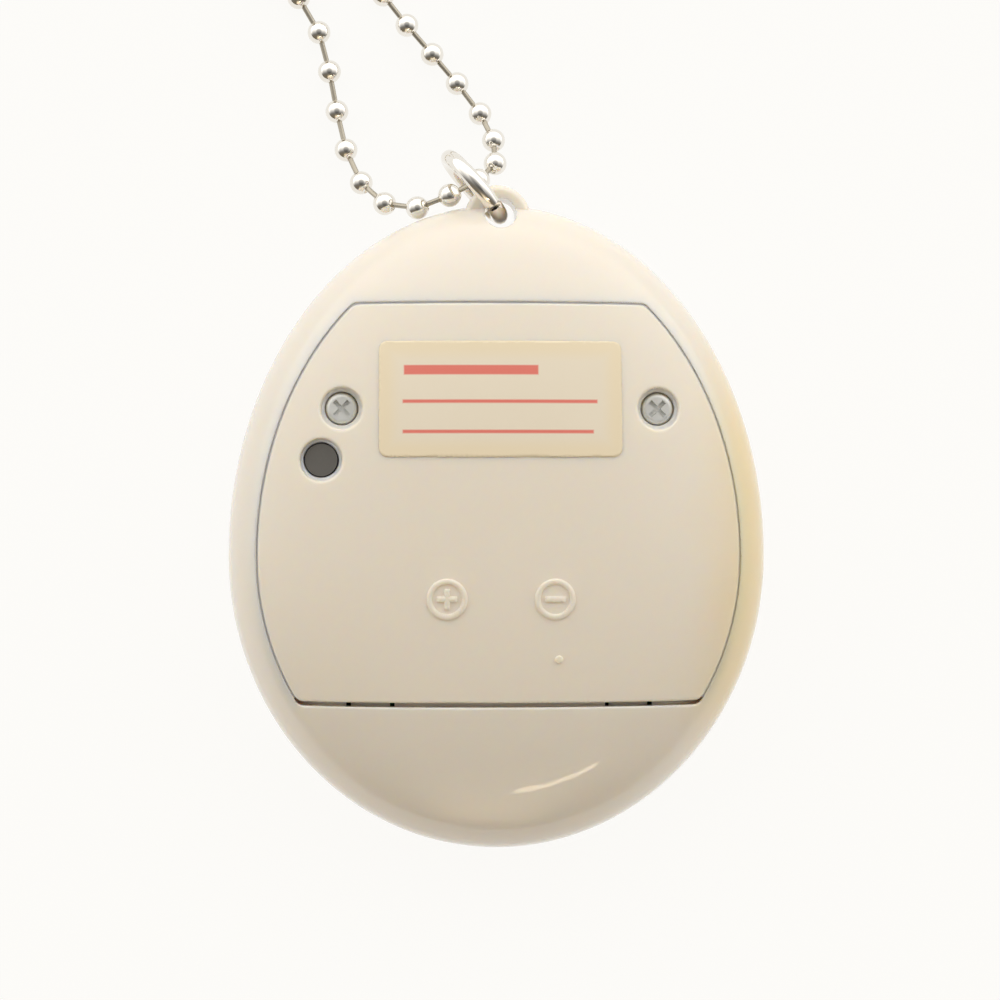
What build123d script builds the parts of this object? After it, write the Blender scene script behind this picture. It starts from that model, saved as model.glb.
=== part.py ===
from build123d import *
import os
from functools import lru_cache
from math import cos, sin, radians, tan

# Egg-shaped pocket toy on a ball chain, lying on its front with its battery cover up.
# Millimetres. While it is built, X=0 is the middle of the case, Y=0 its widest line, +Y the
# end with the lug, and Z=0 the flat rim of the screen frame, which the toy rests on.

# ---- Case: two shells that meet on one flat line ----
half_width = 21.0
upper_length = 27.4        # widest line to the lug end
lower_length = 22.9        # widest line to the blunt end
back_depth = 8.0
front_depth = 7.1
back_fullness = 0.64       # 0.55 is an ellipse, more is squarer
front_fullness = 0.74
wall = 1.4
frame_proud = 0.4          # how far the screen frame stands out of the front
part_z = front_depth + frame_proud
rim_lip_height = 1.0
rim_lip_wall = 0.7
rim_lip_gap = 0.2

# ---- General fits ----
slide_gap = 0.05           # radial clearance of what slides in a hole
seat_gap = 0.1             # clearance where one piece drops into another

# ---- Lug and jump ring ----
lug_radius = 2.6
lug_center = (0.0, 26.3)
lug_half_thickness = 1.55
lug_edge_round = 0.5
lug_hole_radius = 1.25
lug_hole_center = (0.2, 26.6)
ring_wire_radius = 0.65
ring_radius = 3.0          # to the middle of its wire
ring_turn = 131.4          # direction from the hole towards the ring's middle, degrees from +X
ring_cut = 7.0             # the gap between the wire's ends, degrees
ring_cut_at = -52.0        # where that gap is, degrees round the ring from its lug side

# ---- Battery cover ----
cover_half_width = 18.67
cover_top = 19.45
cover_bottom = -11.45
cover_corner = 0.8
cover_thickness = 1.1
cover_gap = 0.12
cover_bottom_gap = 0.35
deck_thickness = 1.0       # the wall under the cover
deck_margin = 1.2          # how far that wall runs on past the cover's edge
tongue_x = 9.9
tongue_width = 3.0
tongue_reach = 1.4
tongue_thickness = 0.7
tongue_root = 0.8
tongue_swing = 0.75        # room for the tongue's root to move in as the cover tilts
moulding_proud = 0.16      # raised battery marks and gate nub
mark_radius = 1.55
mark_line = 0.42
mark_pitch = 8.2
mark_y = -3.2
nub_radius = 0.32
nub_at = (4.4, -7.8)

# ---- Cover screws ----
cover_screw_at = (12.1, 11.3)
screw_recess_radius = 1.55
cup_wall = 0.55
web_top_z = part_z + 4.55
web_thickness = 1.0
cover_screw_hole_radius = 1.0
cover_screw_head_radius = 1.28
cover_screw_head_height = 0.75
cover_screw_length = 3.4
screw_radius = 0.7
boss_wall = 0.45
cross_width = 0.34
cross_length = 1.55
cross_depth = 0.5
screw_head_round = 0.55    # share of a screw head's height that is rounded off

# ---- Reset button ----
reset_at = (-13.65, 7.36)
reset_hole_radius = 1.57
reset_radius = 1.25
reset_below_skin = 0.5     # its top, below the cover's outer face
reset_flange_radius = 1.5
reset_flange_height = 0.8
reset_travel = 0.4
guide_wall = 0.7

# ---- Label ----
label_size = (18.5, 8.85)
label_y = 12.0
label_corner = 0.65
label_thickness = 0.12

# ---- Screen frame, window and display ----
screen_y = 3.0
frame_size = (21.0, 19.0)
frame_corner = 4.0
frame_flange = 1.8
frame_edge_round = 0.6
spigot_inset = 1.05        # the frame's inner part is this much smaller all round
spigot_corner = 3.0
spigot_height = 0.9
opening_size = (15.5, 13.5)
opening_corner = 2.0
window_lap = 0.9           # how far the window runs under the frame
window_thickness = 0.9
window_depth = 0.9         # window face, above the rim it rests on
mouth_wall = 1.6           # raised wall round the opening inside the shell
display_size = (20.0, 17.0)
display_thickness = 0.7    # one sheet of glass
display_ledge = 1.4
display_gap = 0.2
holder_wall = 1.1
strip_height = 1.0
strip_end_gap = 0.5
board_thickness = 1.0
board_inset = 3.0

# ---- Front buttons and keypad ----
button_radius = 2.2
button_places = ((-8.0, -11.5), (0.0, -13.6), (8.0, -11.5))
button_proud = 0.65
button_travel = 0.8
button_flange_radius = 2.8
button_flange_height = 0.9
button_edge_round = 0.5
key_gap = 0.3
mat_thickness = 0.9
mat_corner = 2.0
mat_half_width = 12.4
mat_low_y = -17.6
mat_high_y = -8.2

# ---- Cells and their contacts ----
cell_radius = 5.8
cell_height = 5.4
cell_edge_round = 0.4
cell_x = 6.6
cell_y = -4.0
cell_gap = 0.3
well_floor = 0.6
well_wall = 0.8
well_above_board = 0.2
contact_thickness = 0.25
contact_radius = 3.0
contact_leg_width = 1.6
bridge_half_length = 9.0
bridge_width = 3.0
bridge_corner = 1.0
bridge_post_x = 3.4
bridge_post_radius = 1.1

# ---- Fasteners inside ----
case_screw_places = ((-7.0, 18.0), (7.0, 18.0), (-15.8, -4.0), (15.8, -4.0))
case_boss_radius = 2.1
case_screw_head_radius = 1.3
case_screw_head_height = 0.8
case_screw_seat_z = part_z + 2.4
case_screw_length = 7.2
board_screw_places = ((-14.3, 2.6), (14.3, 2.6), (0.0, 18.2))
board_boss_radius = 1.6
board_screw_head_radius = 1.2
board_screw_head_height = 0.7
board_screw_length = 3.6

# ---- On the board and the buzzer ----
blob_at = (0.4, 6.6)
blob_radius = 3.9
blob_height = 1.3
blob_round = 0.9           # share of its height that is rounded off
crystal_at = (-5.3, 13.6)
crystal_radius = 1.0
crystal_length = 6.0
capacitor_places = ((10.4, 4.0), (10.4, 7.0), (-7.4, 4.6), (-7.4, 7.6))
capacitor_size = (2.0, 1.25, 0.9)
switch_size = (3.0, 3.0, 1.2)
buzzer_at = (0.4, 8.9)
buzzer_radius = 6.5
buzzer_plate = 0.2
buzzer_crystal_radius = 4.6
buzzer_seat_wall = 0.9
buzzer_drop = 3.2          # its plate, above the line where the shells meet
lead_radius = 0.25
lead_spread = 2.6
lead_out = 1.0             # how far outside the buzzer's crystal a lead stands

# ---- Ball chain ----
bead_radius = 0.925
corner_share = 0.45        # of the shorter run beside a corner, taken by that corner's arc
connector_radius = 1.3
connector_lip = 0.5
chain_route = [
    (-10.9, 51.2, 0.95), (-10.3, 46.3, 0.95), (-5.5, 40.2, 0.95), (-0.3, 34.9, 1.0),
    (0.3, 31.4, 4.2), (-1.5, 29.6, 6.4), (-4.3, 28.4, 7.2), (-7.8, 27.7, 5.7),
    (-11.1, 29.9, 2.0), (-12.9, 34.6, 0.95), (-14.0, 40.4, 0.95), (-15.6, 44.5, 0.95),
    (-21.8, 50.3, 0.95), (-27.1, 57.0, 0.95), (-26.8, 62.7, 0.95), (-22.8, 66.6, 0.95),
    (-17.2, 66.9, 0.95), (-12.8, 63.4, 0.95), (-11.9, 57.5, 0.95),
]

# ---- Levels that follow from the stack, front to back ----
window_z = window_depth
frame_inner_z = frame_flange + spigot_height
mouth_z = frame_inner_z + display_gap
display_z = mouth_z + slide_gap
display_top_z = display_z + 2 * display_thickness
board_z = display_top_z + strip_height
board_top_z = board_z + board_thickness
well_low_z = board_top_z + well_above_board
cell_z = well_low_z + well_floor + contact_thickness + slide_gap
case_top_z = part_z + back_depth
deck_inset = cover_thickness + seat_gap
cup_radius = screw_recess_radius + cup_wall
web_low_z = web_top_z - web_thickness
boss_top_z = web_low_z - seat_gap
boss_low_z = web_top_z - cover_screw_length - seat_gap
switch_top_z = board_top_z + switch_size[2]
reset_low_z = switch_top_z + reset_travel + seat_gap     # its flange, one travel clear of the switch
reset_flange_z = reset_low_z + reset_flange_height
buzzer_z = part_z + buzzer_drop
bridge_z = cell_z + cell_height + slide_gap
button_low_z = board_z - button_travel - seat_gap        # the board's side of a button's flange
button_flange_z = button_low_z - button_flange_height
lip_width = half_width - wall - rim_lip_gap
tongue_inset = wall + seat_gap + tongue_thickness
cover_boss_radius = cup_radius + seat_gap + boss_wall
guide_radius = reset_radius + slide_gap + guide_wall

ring_out = (cos(radians(ring_turn)), sin(radians(ring_turn)))
ring_center = (lug_hole_center[0] + ring_radius * ring_out[0],
               lug_hole_center[1] + ring_radius * ring_out[1])
# The ring's own highest Y closes the box of the toy, and the row's origin is under its middle.
ring_top_y = ring_center[1] + ring_radius * ring_out[1] + ring_wire_radius
origin_y = (ring_top_y - lower_length) / 2

upper_stretch = upper_length / half_width
lower_stretch = lower_length / half_width
join_tolerance = 1e-4      # faces this near the widest line are the cuts between the two halves
outside = 8.0              # far enough out of the skin to cover everything there
past = 1.0                 # how far a cut or a prism runs on past the face that it goes through


def egg_face(width):
    """Flat egg of a given half width: half an ellipse each side of its widest line."""
    top = EllipticalCenterArc((0, 0), width, width * upper_stretch, start_angle=0, arc_size=180)
    bottom = EllipticalCenterArc((0, 0), width, width * lower_stretch, start_angle=180, arc_size=180)
    return make_face([top, bottom])


def skin_curve(inset, front):
    """Profile of the case from its rim to its crown, moved inwards by inset."""
    width = half_width - inset
    depth = (front_depth if front else back_depth) - inset
    full = front_fullness if front else back_fullness
    return Bezier((width, 0, 0), (width, 0, depth * full), (width * full, 0, depth), (0, 0, depth))


def egg_solid(outline, front):
    """Turns half a profile about Z, draws each half out to the egg's own length and joins them."""
    half = revolve(make_face(outline), Axis.Z, 180)
    upper = scale(half, by=(1, upper_stretch, 1))
    lower = mirror(scale(half, by=(1, lower_stretch, 1)), Plane.XZ)
    skins = [face for part in (upper, lower) for face in part.faces()
             if abs(face.center().Y) > join_tolerance]
    solid = Solid(Shell(skins))
    if front:
        solid = mirror(solid, Plane.XY)
    return Pos(0, 0, part_z) * solid


@lru_cache(maxsize=None)
def dome(inset, front=False):
    """One solid half of the case, its skin moved inwards by inset."""
    skin = skin_curve(inset, front)
    return egg_solid([skin, Line(skin @ 1, (0, 0, 0)), Line((0, 0, 0), skin @ 0)], front)


@lru_cache(maxsize=None)
def layer(outer_inset, inner_inset, front=False):
    """The part of one half of the case that lies between two insets of its skin."""
    outer, inner = skin_curve(outer_inset, front), skin_curve(inner_inset, front)
    edges = [outer, Line(outer @ 1, inner @ 1), inner, Line(inner @ 0, outer @ 0)]
    return egg_solid(edges, front)


def upright(face, low, high):
    """A flat outline raised into a prism between two heights."""
    return extrude(Pos(0, 0, low) * face, amount=high - low)


def disc(at, radius, low, high):
    return upright(Pos(at[0], at[1]) * Circle(radius), low, high)


def block(at, size, low, high):
    return upright(Pos(at[0], at[1]) * Rectangle(size[0], size[1]), low, high)


def rounded(at, size, corner, low, high):
    return upright(Pos(at[0], at[1]) * RectangleRounded(size[0], size[1], corner), low, high)


def cover_face(gap, bottom_gap):
    """The battery cover's outline, drawn in by a gap: an egg cut straight at both ends."""
    top = cover_top - gap
    bottom = cover_bottom + bottom_gap
    band = Pos(0, (top + bottom) / 2) * Rectangle(4 * half_width, top - bottom)
    face = egg_face(cover_half_width - gap) & band
    return fillet(face.vertices(), cover_corner)


def cross_cut(at, top_z):
    """Cross recess of a screw head, turned so that it shows as an X."""
    low, high = top_z - cross_depth, top_z + cross_depth
    bars = Rectangle(cross_length, cross_width) + Rectangle(cross_width, cross_length)
    return upright(Pos(at[0], at[1]) * (Rot(0, 0, 45) * bars), low, high)


def pan_head_screw(at, seat_z, head_radius, head_height, length, shank_radius):
    """Cross-headed screw standing head up, its head's underside on seat_z."""
    head = disc(at, head_radius, seat_z, seat_z + head_height)
    head = fillet(head.faces().sort_by(Axis.Z)[-1].edges(), head_height * screw_head_round)
    shank = disc(at, shank_radius, seat_z - length, seat_z)
    shank = chamfer(shank.faces().sort_by(Axis.Z)[0].edges(), shank_radius / 2)
    return head + shank - cross_cut(at, seat_z + head_height)


def mirrored_places(at):
    return ((-at[0], at[1]), at)


# ---- Shells ----
outer_back = dome(0)
above_deck = layer(-outside, deck_inset)
cover_prism = upright(cover_face(0, 0), part_z, case_top_z + past)


def under_deck(solid):
    """Keeps what hangs under the cover's seat from standing through it."""
    return solid - above_deck


def lug(front):
    """Half of the lug: a round tab, with a solid core where it runs into the shell."""
    low, high = (part_z - lug_half_thickness, part_z) if front else (part_z, part_z + lug_half_thickness)
    tab = disc(lug_center, lug_radius, low, high)
    rim = tab.faces().sort_by(Axis.Z)[0 if front else -1].edges()
    tab = fillet(rim, lug_edge_round)
    skin = dome(0, front)
    core = disc(lug_center, lug_radius, part_z - front_depth, case_top_z) & skin
    return tab + core


def lug_hole():
    return disc(lug_hole_center, lug_hole_radius, -past, case_top_z + past)


def well_face(margin):
    """Outline of the two cells side by side, with a margin, and the way between them."""
    radius = cell_radius + cell_gap + margin
    face = Pos(-cell_x, cell_y) * Circle(radius) + Pos(cell_x, cell_y) * Circle(radius)
    return face + Pos(0, cell_y) * Rectangle(2 * cell_x, bridge_width + 2 * cell_gap + 2 * margin)


def tongue(side):
    """Tab on the cover's lower edge that hooks under the rear shell."""
    x = side * tongue_x
    root_y = cover_bottom + cover_bottom_gap + tongue_root / 2
    tip_y = cover_bottom - tongue_reach
    root = layer(0, tongue_inset) & block((x, root_y), (tongue_width, tongue_root), part_z, case_top_z)
    size = (tongue_width, root_y - tip_y)
    return root + layer(wall + seat_gap, tongue_inset) & block((x, (root_y + tip_y) / 2), size, part_z,
                                                                case_top_z)


def tongue_slot(side):
    """Room under the rear shell's edge for a tongue, and for its swing."""
    low = cover_bottom - tongue_reach - cover_bottom_gap
    high = cover_bottom + cover_bottom_gap + tongue_root + tongue_swing
    width = tongue_width + 2 * cover_bottom_gap
    room = layer(wall, tongue_inset + tongue_swing)
    slot = room & block((side * tongue_x, (low + high) / 2), (width, high - low), part_z, case_top_z)
    mouth = block((side * tongue_x, (cover_bottom + high) / 2), (width, high - cover_bottom), part_z,
                  case_top_z)
    return slot + mouth & layer(deck_inset / 2, tongue_inset + tongue_swing)


def rim_lip(margin):
    """Raised edge of the front shell that keeps the two shells in line."""
    face = egg_face(lip_width + margin) - egg_face(lip_width - rim_lip_wall - margin)
    return upright(face, part_z - rim_lip_height, part_z + rim_lip_height + margin)


def rear_shell():
    shell = layer(0, wall)
    deck = layer(deck_inset, deck_inset + deck_thickness)
    shell += deck & upright(cover_face(-deck_margin, -deck_margin), part_z, case_top_z)
    shell -= cover_prism & above_deck
    shell -= rim_lip(seat_gap)
    shell += under_deck(upright(well_face(well_wall), well_low_z, case_top_z))
    for at in mirrored_places(cover_screw_at):
        shell += under_deck(disc(at, cover_boss_radius, boss_low_z, case_top_z))
    for at in case_screw_places:
        shell += under_deck(disc(at, case_boss_radius, board_top_z + seat_gap / 2, case_top_z))
    shell += under_deck(disc(reset_at, guide_radius, reset_flange_z + slide_gap, case_top_z))
    buzzer_seat = disc(buzzer_at, buzzer_radius + slide_gap, buzzer_z + buzzer_plate, case_top_z)
    buzzer_seat -= disc(buzzer_at, buzzer_radius - buzzer_seat_wall, 0, case_top_z + past)
    shell += under_deck(buzzer_seat)
    shell += lug(False)
    shell -= upright(well_face(0), well_low_z + well_floor, case_top_z)
    for at in mirrored_places(cover_screw_at):
        shell -= disc(at, cup_radius + seat_gap, boss_top_z, case_top_z)
        shell -= disc(at, screw_radius + slide_gap, 0, boss_top_z)
    for at in case_screw_places:
        shell -= disc(at, case_screw_head_radius + seat_gap, case_screw_seat_z, case_top_z)
        shell -= disc(at, screw_radius + slide_gap, 0, case_screw_seat_z)
    shell -= disc(reset_at, reset_radius + slide_gap, 0, case_top_z)
    for side in (-1, 1):
        shell -= tongue_slot(side)
    for contact_x in (-cell_x, cell_x):
        shell -= block((contact_x, cell_y), (contact_leg_width + 2 * seat_gap, 2 * contact_thickness),
                       0, cell_z)
    return shell - lug_hole()


def front_shell():
    shell = layer(0, wall, True)
    screen_at = (0, screen_y)
    mouth_size = [size - 2 * spigot_inset + 2 * mouth_wall for size in frame_size]
    mouth = rounded(screen_at, mouth_size, spigot_corner + mouth_wall, 0, mouth_z)
    shell += mouth & dome(0, True)
    for at in button_places:
        shell += disc(at, button_radius + guide_wall, 0, button_flange_z) & dome(0, True)
    for at in case_screw_places:
        shell += disc(at, case_boss_radius, 0, board_z - seat_gap / 2) & dome(0, True)
    for at in board_screw_places:
        shell += disc(at, board_boss_radius, 0, board_z) & dome(0, True)
    lip_solid = rim_lip(0)
    lip_solid -= disc(lug_center, lug_radius + seat_gap, part_z, case_top_z)
    shell += lip_solid - layer(-outside, wall / 2, True)
    shell += lug(True)
    flange = [size + 2 * seat_gap for size in frame_size]
    shell -= rounded(screen_at, flange, frame_corner, -past, frame_flange)
    spigot = [size - 2 * spigot_inset + 2 * seat_gap for size in frame_size]
    shell -= rounded(screen_at, spigot, spigot_corner, -past, mouth_z + past)
    for at in button_places:
        shell -= disc(at, button_radius + 2 * slide_gap, -past, button_flange_z + past)
    for at in case_screw_places:
        shell -= disc(at, screw_radius + slide_gap, case_screw_seat_z - case_screw_length - seat_gap,
                      board_z)
    for at in board_screw_places:
        shell -= disc(at, screw_radius + slide_gap, board_top_z - board_screw_length - seat_gap, board_z)
    return shell - lug_hole()


# ---- Battery cover and what is on it ----
def mark_faces():
    """Raised plus and minus in rings, which show how the two cells go in."""
    ring = Circle(mark_radius) - Circle(mark_radius - mark_line)
    bar = Rectangle(mark_radius, mark_line)
    plus = bar + Rectangle(mark_line, mark_radius)
    return [Pos(-mark_pitch / 2, mark_y) * (ring + plus), Pos(mark_pitch / 2, mark_y) * (ring + bar)]


def battery_cover():
    plate = layer(0, cover_thickness)
    cover = plate & upright(cover_face(cover_gap, cover_bottom_gap), part_z, case_top_z + past)
    for at in mirrored_places(cover_screw_at):
        cover += disc(at, cup_radius, web_low_z, case_top_z) & outer_back
    for side in (-1, 1):
        cover += tongue(side)
        post = disc((side * bridge_post_x, cell_y), bridge_post_radius, bridge_z + contact_thickness,
                    case_top_z)
        cover += post & outer_back
    raised = layer(-moulding_proud, cover_thickness / 2)
    for face in mark_faces():
        cover += raised & upright(face, part_z, case_top_z + past)
    cover += raised & disc(nub_at, nub_radius, part_z, case_top_z + past)
    for at in mirrored_places(cover_screw_at):
        cover -= disc(at, screw_recess_radius, web_top_z, case_top_z + past)
        cover -= disc(at, cover_screw_hole_radius, 0, case_top_z + past)
    return cover - disc(reset_at, reset_hole_radius, 0, case_top_z + past)


def blank_label():
    """Plain printed sticker that follows the cover's curve."""
    skin = layer(-label_thickness, 0)
    return skin & rounded((0, label_y), label_size, label_corner, part_z, case_top_z + past)


def cover_screw(at):
    return pan_head_screw(at, web_top_z, cover_screw_head_radius, cover_screw_head_height,
                          cover_screw_length, screw_radius)


def reset_button():
    """Rubber plunger: its flange is caught under the deck, its top is in the cover's hole."""
    stem = disc(reset_at, reset_radius, reset_flange_z, case_top_z) & dome(reset_below_skin)
    return stem + disc(reset_at, reset_flange_radius, reset_low_z, reset_flange_z)


def front_button(at):
    """Rubber key: its outer end follows the case, its flange is caught behind the shell."""
    stem = disc(at, button_radius, 0, button_flange_z) & dome(-button_proud, True)
    stem = fillet(stem.faces().sort_by(Axis.Z)[0].edges(), button_edge_round)
    return stem + disc(at, button_flange_radius, button_flange_z, button_low_z)


def keypad_mat():
    """Silicone sheet on the board, open round each key."""
    size = (2 * mat_half_width, mat_high_y - mat_low_y)
    mat = rounded((0, (mat_high_y + mat_low_y) / 2), size, mat_corner, board_z - mat_thickness, board_z)
    mat &= upright(egg_face(half_width - board_inset), 0, board_z)
    for at in button_places:
        mat -= disc(at, button_flange_radius + key_gap, 0, board_z)
    return mat


# ---- Screen ----
def screen_frame():
    at = (0, screen_y)
    flange = rounded(at, frame_size, frame_corner, 0, frame_flange - slide_gap)
    flange = fillet(flange.faces().sort_by(Axis.Z)[0].edges(), frame_edge_round)
    spigot = [size - 2 * spigot_inset for size in frame_size]
    frame = flange + rounded(at, spigot, spigot_corner, frame_flange / 2, frame_inner_z)
    frame -= rounded(at, opening_size, opening_corner, -past, frame_inner_z)
    pocket = [size + 2 * window_lap + 2 * slide_gap for size in opening_size]
    return frame - rounded(at, pocket, opening_corner, window_z, frame_inner_z)


def screen_window():
    size = [length + 2 * window_lap for length in opening_size]
    return rounded((0, screen_y), size, opening_corner, window_z, window_z + window_thickness)


def display_glass():
    """Two sheets of glass: the rear one runs on past the front one for its contacts."""
    front_size = (display_size[0], display_size[1] - 2 * display_ledge)
    front = block((0, screen_y), front_size, display_z, display_z + display_thickness)
    return front + block((0, screen_y), display_size, display_z + display_thickness, display_top_z)


def display_holder():
    inner = [size + 2 * seat_gap for size in display_size]
    outer = [size + 2 * holder_wall for size in inner]
    top = board_z - seat_gap / 2
    return (rounded((0, screen_y), outer, holder_wall, display_z, top)
            - block((0, screen_y), inner, display_z, top))


def contact_strips():
    """Two zebra rubber strips between the glass and the board."""
    strips = []
    for side in (-1, 1):
        y = screen_y + side * (display_size[1] - display_ledge) / 2
        strip_size = (display_size[0] - 2 * strip_end_gap, display_ledge)
        strips.append(block((0, y), strip_size, display_top_z, board_z))
    return strips


# ---- Board and its parts ----
def circuit_board():
    board = upright(egg_face(half_width - board_inset), board_z, board_top_z)
    for at in case_screw_places + board_screw_places:
        board -= disc(at, screw_radius + slide_gap, board_z, board_top_z)
    return board


def chip_blob():
    blob = disc(blob_at, blob_radius, board_top_z, board_top_z + blob_height)
    return fillet(blob.faces().sort_by(Axis.Z)[-1].edges(), blob_height * blob_round)


def crystal():
    can = Cylinder(crystal_radius, crystal_length, rotation=(0, 90, 0))
    return Pos(crystal_at[0], crystal_at[1], board_top_z + crystal_radius) * can


def board_capacitors():
    top = board_top_z + capacitor_size[2]
    return [block(at, capacitor_size, board_top_z, top) for at in capacitor_places]


def reset_switch():
    return block(reset_at, switch_size, board_top_z, switch_top_z)


def buzzer_disc():
    plate = disc(buzzer_at, buzzer_radius, buzzer_z, buzzer_z + buzzer_plate)
    return plate + disc(buzzer_at, buzzer_crystal_radius, buzzer_z - buzzer_plate, buzzer_z)


def buzzer_leads():
    """Two bare wires from the board up to the buzzer."""
    leads = []
    for side in (-1, 1):
        at = (buzzer_at[0] + side * (buzzer_crystal_radius + lead_out), buzzer_at[1] - lead_spread)
        leads.append(disc(at, lead_radius, board_top_z, buzzer_z))
    return leads


# ---- Cells and contacts ----
def cell(side):
    can = disc((side * cell_x, cell_y), cell_radius, cell_z, cell_z + cell_height)
    ends = can.faces().sort_by(Axis.Z)[0].edges() + can.faces().sort_by(Axis.Z)[-1].edges()
    return fillet(ends, cell_edge_round)


def cell_contact(side):
    """Round spring contact under a cell, with a leg through the well's floor to the board."""
    at = (side * cell_x, cell_y)
    floor_z = well_low_z + well_floor
    plate = disc(at, contact_radius, floor_z, floor_z + contact_thickness)
    return plate + block(at, (contact_leg_width, contact_thickness), board_top_z, floor_z)


def contact_bridge():
    """Strip under the cover that joins the tops of the two cells."""
    return rounded((0, cell_y), (2 * bridge_half_length, bridge_width), bridge_corner, bridge_z,
                   bridge_z + contact_thickness)


# ---- Screws inside the case ----
def case_screws():
    return [pan_head_screw(at, case_screw_seat_z, case_screw_head_radius, case_screw_head_height,
                           case_screw_length, screw_radius) for at in case_screw_places]


def board_screws():
    return [pan_head_screw(at, board_top_z, board_screw_head_radius, board_screw_head_height,
                           board_screw_length, screw_radius) for at in board_screw_places]


# ---- Ring and chain ----
def jump_ring():
    """Round wire bent into a ring that stands on edge, cut once where its ends meet."""
    wire = Pos(ring_radius, 0, 0) * (Rot(90, 0, 0) * Circle(ring_wire_radius))
    ring = revolve(wire, Axis.Z, 360 - ring_cut)
    upright_ring = Rot(90, 0, 0) * (Rot(0, 0, 180 + ring_cut_at + ring_cut) * ring)
    return Pos(ring_center[0], ring_center[1], part_z) * (Rot(0, 0, ring_turn) * upright_ring)


def route_radii(points):
    """Each corner's arc: 0.45 of its shorter run over the tangent of half its turn."""
    radii = []
    for before, corner, after in zip(points, points[1:], points[2:]):
        into, out = Vector(corner) - Vector(before), Vector(after) - Vector(corner)
        turn = into.get_angle(out)
        radii.append(corner_share * min(into.length, out.length) / tan(radians(turn / 2)))
    return radii


def ball_chain():
    radii = route_radii(chain_route)
    print("chain radii:", " ".join(f"{radius:.1f}" for radius in radii))
    path = FilletPolyline(*chain_route, radius=radii)
    start = Plane(origin=path @ 0, z_dir=path % 0)
    tube = sweep(start * Circle(bead_radius), path=path)
    length = sum(edge.length for edge in path.edges())
    ratio = tube.volume / (Circle(bead_radius).area * length)
    print(f"chain length {length:.1f} mm, volume over section times length {ratio:.3f}")
    return tube


def chain_connector():
    """Folded metal coupling that takes the chain's two end beads."""
    first, last = Vector(chain_route[0]), Vector(chain_route[-1])
    along = last - first
    lift = Vector(0, 0, connector_radius - bead_radius)
    place = Plane(origin=first + lift, z_dir=along)
    place = place.offset(slide_gap)
    body = extrude(place * Circle(connector_radius), amount=along.length - 2 * slide_gap)
    return fillet(body.edges(), connector_lip)


def all_nodes():
    left_screw, right_screw = mirrored_places(cover_screw_at)
    nodes = {
        "rear_shell": rear_shell(),
        "front_shell": front_shell(),
        "battery_cover": battery_cover(),
        "blank_label": blank_label(),
        "cover_screw_left": cover_screw(left_screw),
        "cover_screw_right": cover_screw(right_screw),
        "reset_button": reset_button(),
        "keypad_mat": keypad_mat(),
        "screen_frame": screen_frame(),
        "screen_window": screen_window(),
        "display_glass": display_glass(),
        "display_holder": display_holder(),
        "contact_strips": contact_strips(),
        "circuit_board": circuit_board(),
        "chip_blob": chip_blob(),
        "crystal": crystal(),
        "board_capacitors": board_capacitors(),
        "reset_switch": reset_switch(),
        "buzzer_disc": buzzer_disc(),
        "buzzer_leads": buzzer_leads(),
        "battery_left": cell(-1),
        "battery_right": cell(1),
        "contact_left": cell_contact(-1),
        "contact_right": cell_contact(1),
        "contact_bridge": contact_bridge(),
        "case_screws": case_screws(),
        "board_screws": board_screws(),
        "jump_ring": jump_ring(),
        "ball_chain": ball_chain(),
        "chain_connector": chain_connector(),
    }
    for name, at in zip(("left", "middle", "right"), button_places):
        nodes[f"button_{name}"] = front_button(at)
    return nodes


os.makedirs("parts", exist_ok=True)
to_origin = Pos(0, -origin_y, 0)
for node, shape in all_nodes().items():
    solids = shape if isinstance(shape, list) else [shape]
    placed = [solid for piece in solids for solid in (to_origin * piece).solids()]
    export_step(Compound(children=placed) if len(placed) > 1 else placed[0], f"parts/{node}.step")
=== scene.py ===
from math import cos, pi, radians, sin, sqrt

import bmesh
import bpy
import numpy as np
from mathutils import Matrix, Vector
from mathutils.kdtree import KDTree


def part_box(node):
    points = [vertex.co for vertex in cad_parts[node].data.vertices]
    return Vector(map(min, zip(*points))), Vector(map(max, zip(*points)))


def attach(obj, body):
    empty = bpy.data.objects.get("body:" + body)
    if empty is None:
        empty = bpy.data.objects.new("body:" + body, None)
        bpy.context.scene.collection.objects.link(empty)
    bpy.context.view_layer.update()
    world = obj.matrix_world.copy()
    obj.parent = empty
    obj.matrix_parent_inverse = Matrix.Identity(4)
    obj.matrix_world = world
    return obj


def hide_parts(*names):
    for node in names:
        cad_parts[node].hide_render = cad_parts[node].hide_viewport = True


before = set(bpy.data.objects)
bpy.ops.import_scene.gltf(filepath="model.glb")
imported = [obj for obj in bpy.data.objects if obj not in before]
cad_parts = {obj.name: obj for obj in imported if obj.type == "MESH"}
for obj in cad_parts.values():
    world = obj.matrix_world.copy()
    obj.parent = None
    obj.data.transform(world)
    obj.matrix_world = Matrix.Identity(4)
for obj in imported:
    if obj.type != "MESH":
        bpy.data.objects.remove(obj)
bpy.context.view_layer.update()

mm = 0.001


# ---- Camera ----
# A long lens looks down at the battery cover of the toy, which lies on its front, from a little
# to the left of straight above. The jump ring is centred on the line where the two shells meet,
# and the rear shell gives the case's widest line.
case_low, case_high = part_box("rear_shell")
ring_low, ring_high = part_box("jump_ring")
half_width = case_high.x
lower_length = 22.9 * mm
upper_length = 27.4 * mm
widest_y = case_low.y + lower_length
part_z = (ring_low.z + ring_high.z) / 2

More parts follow.
